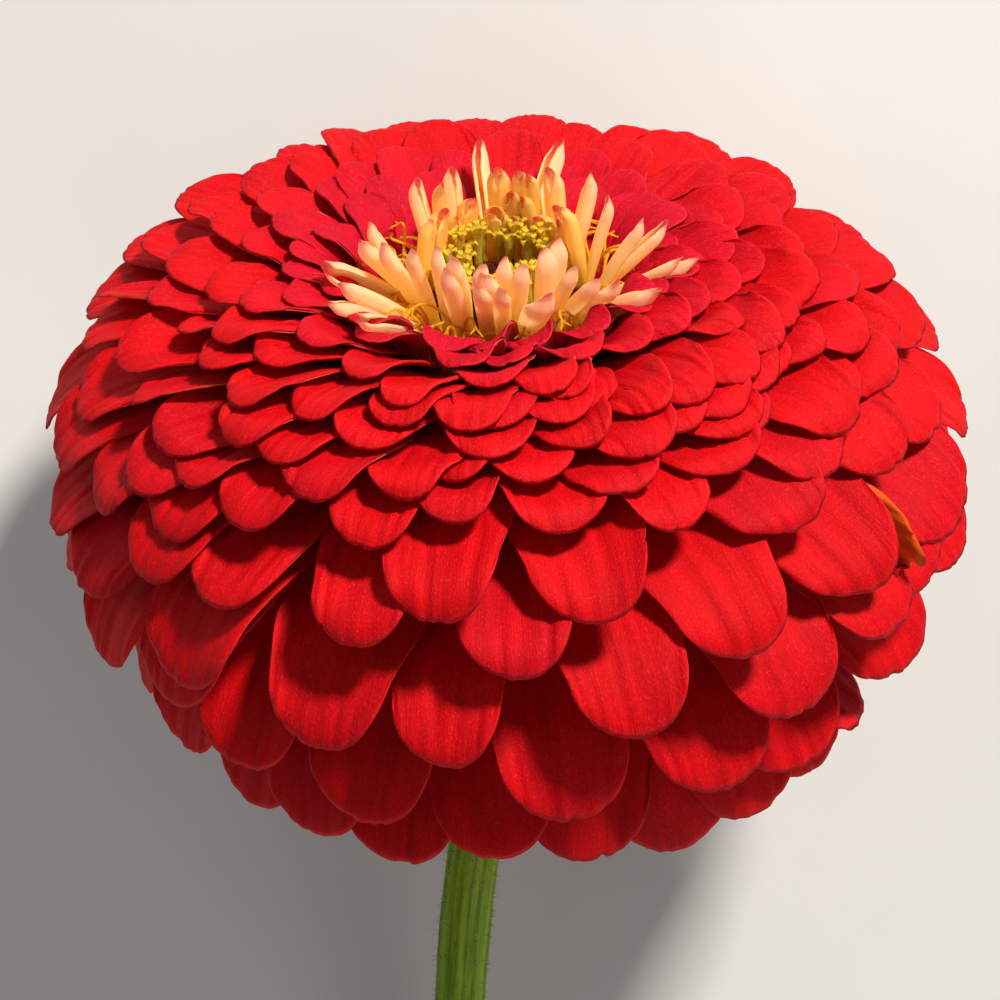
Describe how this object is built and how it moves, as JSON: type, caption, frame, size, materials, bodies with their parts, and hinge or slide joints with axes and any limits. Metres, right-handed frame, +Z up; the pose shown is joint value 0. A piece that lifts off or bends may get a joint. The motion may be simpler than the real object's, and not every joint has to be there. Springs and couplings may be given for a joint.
{
  "type": "zinnia flower",
  "caption": "Cut double zinnia lying on its side, with a domed head of overlapping red petals, pale rolled centre petals and a leafless green stem.",
  "frame": {"origin": "middle of the footprint of the laid flower, on the surface it rests on", "axes": "+Z up from the surface, +Y from the stem's cut end towards the head, +X to the right seen from above"},
  "size_m": [0.1132, 0.1585, 0.1063],
  "materials": {
    "red_petal": "velvety scarlet petal with fine lengthwise veins",
    "cream_petal": "satin cream outside of young rolled petals",
    "yellow_floret": "satin yellow florets and styles",
    "maroon_disc": "matte dark red scales",
    "green_bract": "satin green bracts with dark edges",
    "green_stem": "finely hairy ribbed green stem"
  },
  "bodies": {
    "root": {"ray_petals": "red_petal", "young_petals": "cream_petal", "disc_florets": "yellow_floret", "disc_centre": "maroon_disc", "involucre": "green_bract", "stem": "green_stem"}
  },
  "joints": []
}
